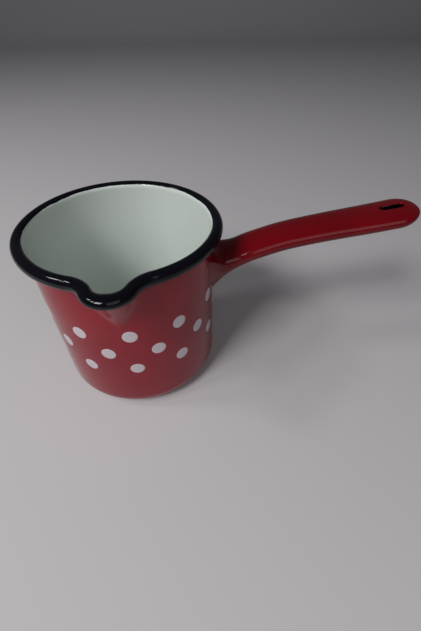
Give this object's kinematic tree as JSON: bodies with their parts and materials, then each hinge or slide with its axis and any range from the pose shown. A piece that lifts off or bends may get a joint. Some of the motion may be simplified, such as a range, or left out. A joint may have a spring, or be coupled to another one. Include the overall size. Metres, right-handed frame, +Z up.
{
  "type": "milk pan",
  "caption": "Small straight-sided saucepan of enamelled steel with a rolled rim, a pouring lip on one side and a hollow handle with a hanging slot.",
  "frame": {"origin": "centre of the underside, on the bowl's axis", "axes": "+X from the bowl's axis along the handle, -Y towards the pouring lip, +Z up through the open mouth"},
  "size_m": [0.2752, 0.1482, 0.1269],
  "materials": {
    "bowl_steel": "pressed low-carbon steel sheet, hidden under enamel",
    "handle_steel": "rolled low-carbon steel sheet, hidden under enamel",
    "weld_steel": "weld metal, hidden under enamel",
    "white_enamel": "glossy white vitreous enamel with a faint green-grey cast",
    "red_enamel": "glossy deep red vitreous enamel",
    "black_enamel": "glossy blue-black vitreous enamel",
    "base_enamel": "dark ground coat enamel, slightly worn",
    "dot_enamel": "fired white dot enamel",
    "handle_red_enamel": "glossy deep red vitreous enamel",
    "ground_coat": "dark ground coat enamel inside the hollow handle"
  },
  "bodies": {
    "root": {"bowl_shell": "bowl_steel", "handle_tube": "handle_steel", "handle_seam_weld": "weld_steel", "handle_root_weld": "weld_steel", "inside_enamel": "white_enamel", "outside_enamel": "red_enamel", "rim_enamel": "black_enamel", "base_enamel": "base_enamel", "dot_transfers": "dot_enamel", "handle_enamel": "handle_red_enamel", "handle_ground_coat": "ground_coat"}
  },
  "joints": []
}
